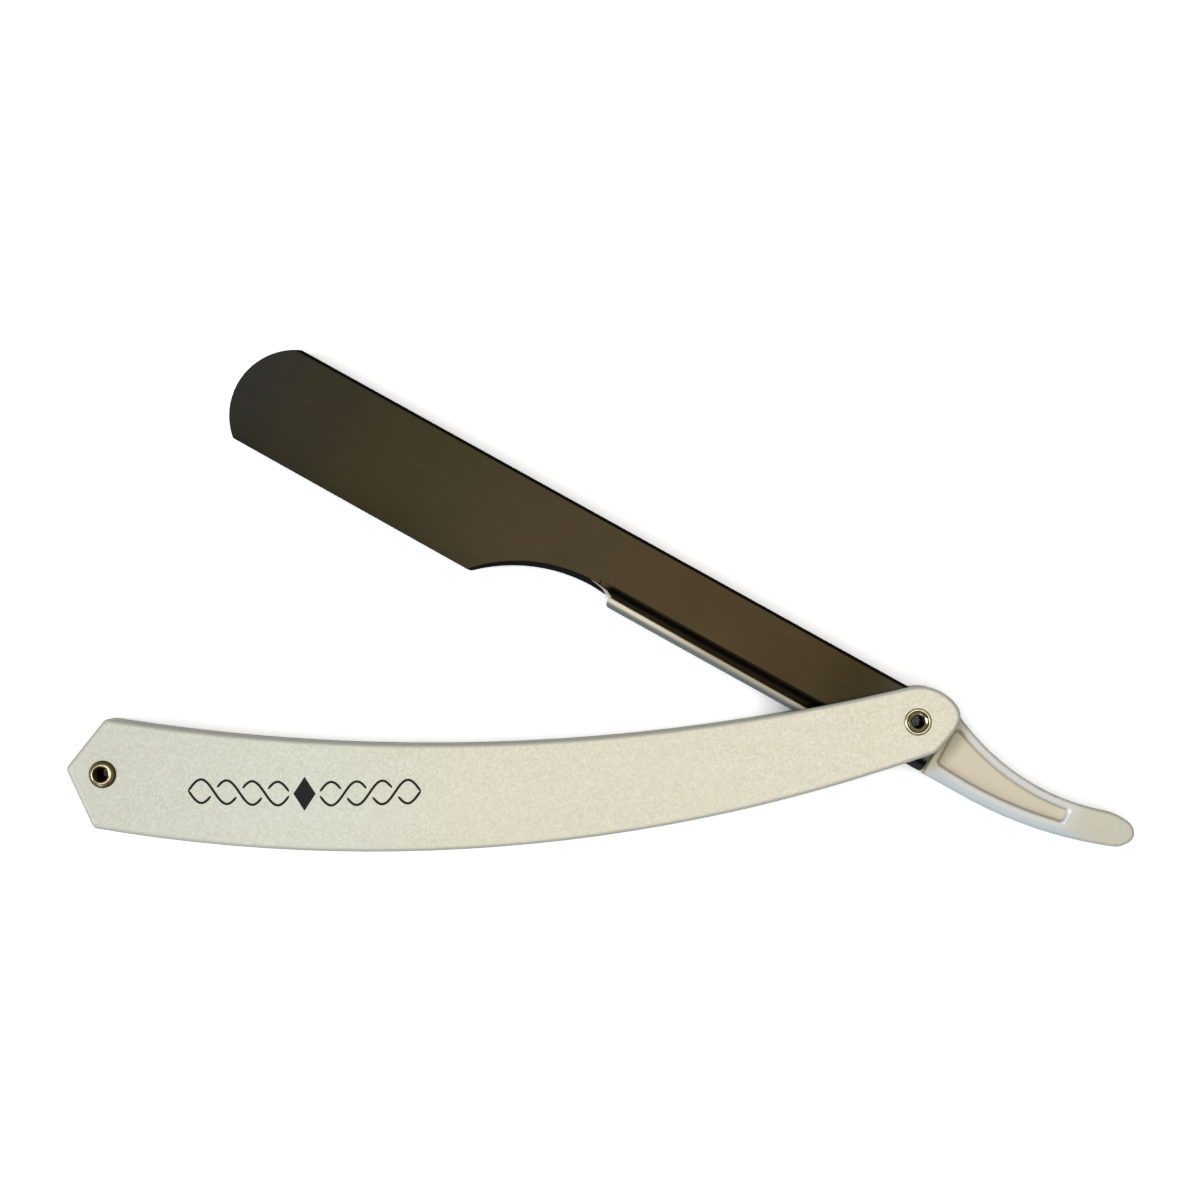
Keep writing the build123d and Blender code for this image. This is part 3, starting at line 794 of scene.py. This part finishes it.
def braid_side(form, t_from, t_to):
    """The braid between two shares of the ornament. Each strand leaves a gap where it passes under."""
    for strand in (1, -1):
        points = []
        for half_wave in range(BRAID_WAVES):
            passes_under = (half_wave % 2 == 0) == (strand > 0)
            for step in range(BRAID_STEPS):
                share = step / BRAID_STEPS
                if half_wave and passes_under and share < CROSSING_GAP:
                    if len(points) > 1:
                        stroke(form, points)
                    points = []
                    continue
                if half_wave < BRAID_WAVES - 1 and not passes_under and share > 1 - CROSSING_GAP:
                    continue
                phase = half_wave + share
                t = t_from + (t_to - t_from) * phase / BRAID_WAVES
                points.append(braid_point(t, strand * BRAID_HEIGHT * sin(pi * phase)))
        stroke(form, points)


def ornament(material):
    form = bmesh.new()
    middle = 0.5
    lozenge_share = LOZENGE_HALF[0] / (BRAID_END - BRAID_START).length
    braid_side(form, 0.0, middle - LOZENGE_CLEARANCE * lozenge_share)
    braid_side(form, 1.0, middle + LOZENGE_CLEARANCE * lozenge_share)
    prism(form, [braid_point(middle + lozenge_share * x, LOZENGE_HALF[1] * y)
                 for x, y in ((-1, 0), (0, -1), (1, 0), (0, 1))])
    bmesh.ops.recalc_face_normals(form, faces=form.faces)
    mesh = bpy.data.meshes.new("printed_ornament")
    form.to_mesh(mesh)
    form.free()
    return new_piece("printed_ornament", mesh, "handle", [material])


# Studio

VIEW_CENTRE = (-52.67 * MM, 24.17 * MM)
VIEW_TURN = radians(-3.676)
VIEW_WIDTH = 204.07 * MM
VIEW_DISTANCE = 600 * MM                # from the camera to the front scale's face
FLOOR_SIZE = 8.0
FLOOR_GAP = 0.02 * MM
SENSOR = 36.0                           # the camera's sensor in millimetres


def camera():
    data = bpy.data.cameras.new("camera")
    data.sensor_width = SENSOR
    data.lens = SENSOR * VIEW_DISTANCE / VIEW_WIDTH
    data.clip_start = 0.01
    data.clip_end = 50.0
    eye = bpy.data.objects.new("camera", data)
    eye.location = (*VIEW_CENTRE, FACE_Z + VIEW_DISTANCE)
    eye.rotation_euler = (0, 0, VIEW_TURN)
    bpy.context.scene.collection.objects.link(eye)
    bpy.context.scene.camera = eye


def sky_light(name, towards, zenith_angle, spread, strength, colour):
    """A soft round light at a great distance, leaning from overhead towards a side."""
    data = bpy.data.lights.new(name, "SUN")
    data.energy = strength
    data.color = colour
    data.angle = radians(spread)
    light = bpy.data.objects.new(name, data)
    side = Vector((*towards, 0)).normalized()
    tilt = radians(zenith_angle)
    source = side * sin(tilt) + Vector((0, 0, cos(tilt)))
    light.rotation_mode = "QUATERNION"
    light.rotation_quaternion = source.to_track_quat("Z", "Y")
    light.location = source
    bpy.context.scene.collection.objects.link(light)


def room(brightness):
    """Dim even light from the room, seen by the camera as a pale backdrop."""
    world = bpy.data.worlds.new("room")
    bpy.context.scene.world = world
    world.use_nodes = True
    tree = world.node_tree
    tree.nodes.clear()
    dim = add_node(tree, "ShaderNodeBackground", {"Color": ROOM_LIGHT, "Strength": brightness})
    pale = add_node(tree, "ShaderNodeBackground", {"Color": BACKDROP, "Strength": 1.0})
    seen = add_node(tree, "ShaderNodeLightPath").outputs["Is Camera Ray"]
    mix = add_node(tree, "ShaderNodeMixShader", {0: seen, 1: dim.outputs[0], 2: pale.outputs[0]})
    output = add_node(tree, "ShaderNodeOutputWorld")
    tree.links.new(mix.outputs[0], output.inputs["Surface"])


def floor(material):
    form = bmesh.new()
    half = FLOOR_SIZE / 2
    corners = [(-half, -half), (half, -half), (half, half), (-half, half)]
    form.faces.new([form.verts.new((x, y, 0)) for x, y in corners])
    mesh = bpy.data.meshes.new("floor")
    form.to_mesh(mesh)
    form.free()
    mesh.materials.append(material)
    plane = bpy.data.objects.new("floor", mesh)
    plane.location = (0, 0, cad_box[0].z - FLOOR_GAP)
    bpy.context.scene.collection.objects.link(plane)


# The scene

def build():
    pearl = pearl_plastic()
    for node in ("front_scale", "back_scale"):
        softened(node, "handle", [pearl], SCALE_SOFTNESS)
    softened("tail_spacer", "handle", [pearl], SCALE_SOFTNESS)

    steel = washer_steel()
    for node in ("front_pivot_washer", "back_pivot_washer"):
        softened(node, "handle", [steel], WASHER_SOFTNESS)

    shell = softened("blade_shell", "shell", [coated_steel(), inner_shade_steel()],
                     SHELL_SOFTNESS, angle=SHELL_SHARP_ANGLE)
    shade_inside(shell)
    softened("blade_carrier", "carrier", [carrier_plastic()], TANG_SOFTNESS,
             angle=CARRIER_SHARP_ANGLE, share=tang_share)

    metals = [brass(), dirt_and_shade_brass()]
    tail = revolved("tail_eyelet_look", tail_eyelet(), -RIVET_SPACING, "handle", metals,
                    dark=[DARK_BORE, DARK_MOUTH, DARK_FOOT], lean=tail_lean)
    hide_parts("tail_eyelet")
    pivot = revolved("pivot_eyelet_look", pivot_eyelet(), 0, "handle", metals,
                     dark=[DARK_BORE, PIVOT_GROOVE_R])
    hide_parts("pivot_eyelet")

    ornament(print_ink())


build()
floor(pale_floor())
camera()
room(brightness=0.27)
sky_light("ceiling", towards=(0.54, 0.84), zenith_angle=7, spread=62, strength=1.6, colour=WARM_WHITE)
sky_light("window", towards=(-1, -0.15), zenith_angle=55, spread=32, strength=1.45, colour=COOL_WHITE)
sky_light("low_cool", towards=(-0.35, -1), zenith_angle=72, spread=26, strength=0.25, colour=PALE_BLUE)
bpy.context.scene.view_settings.view_transform = "Standard"
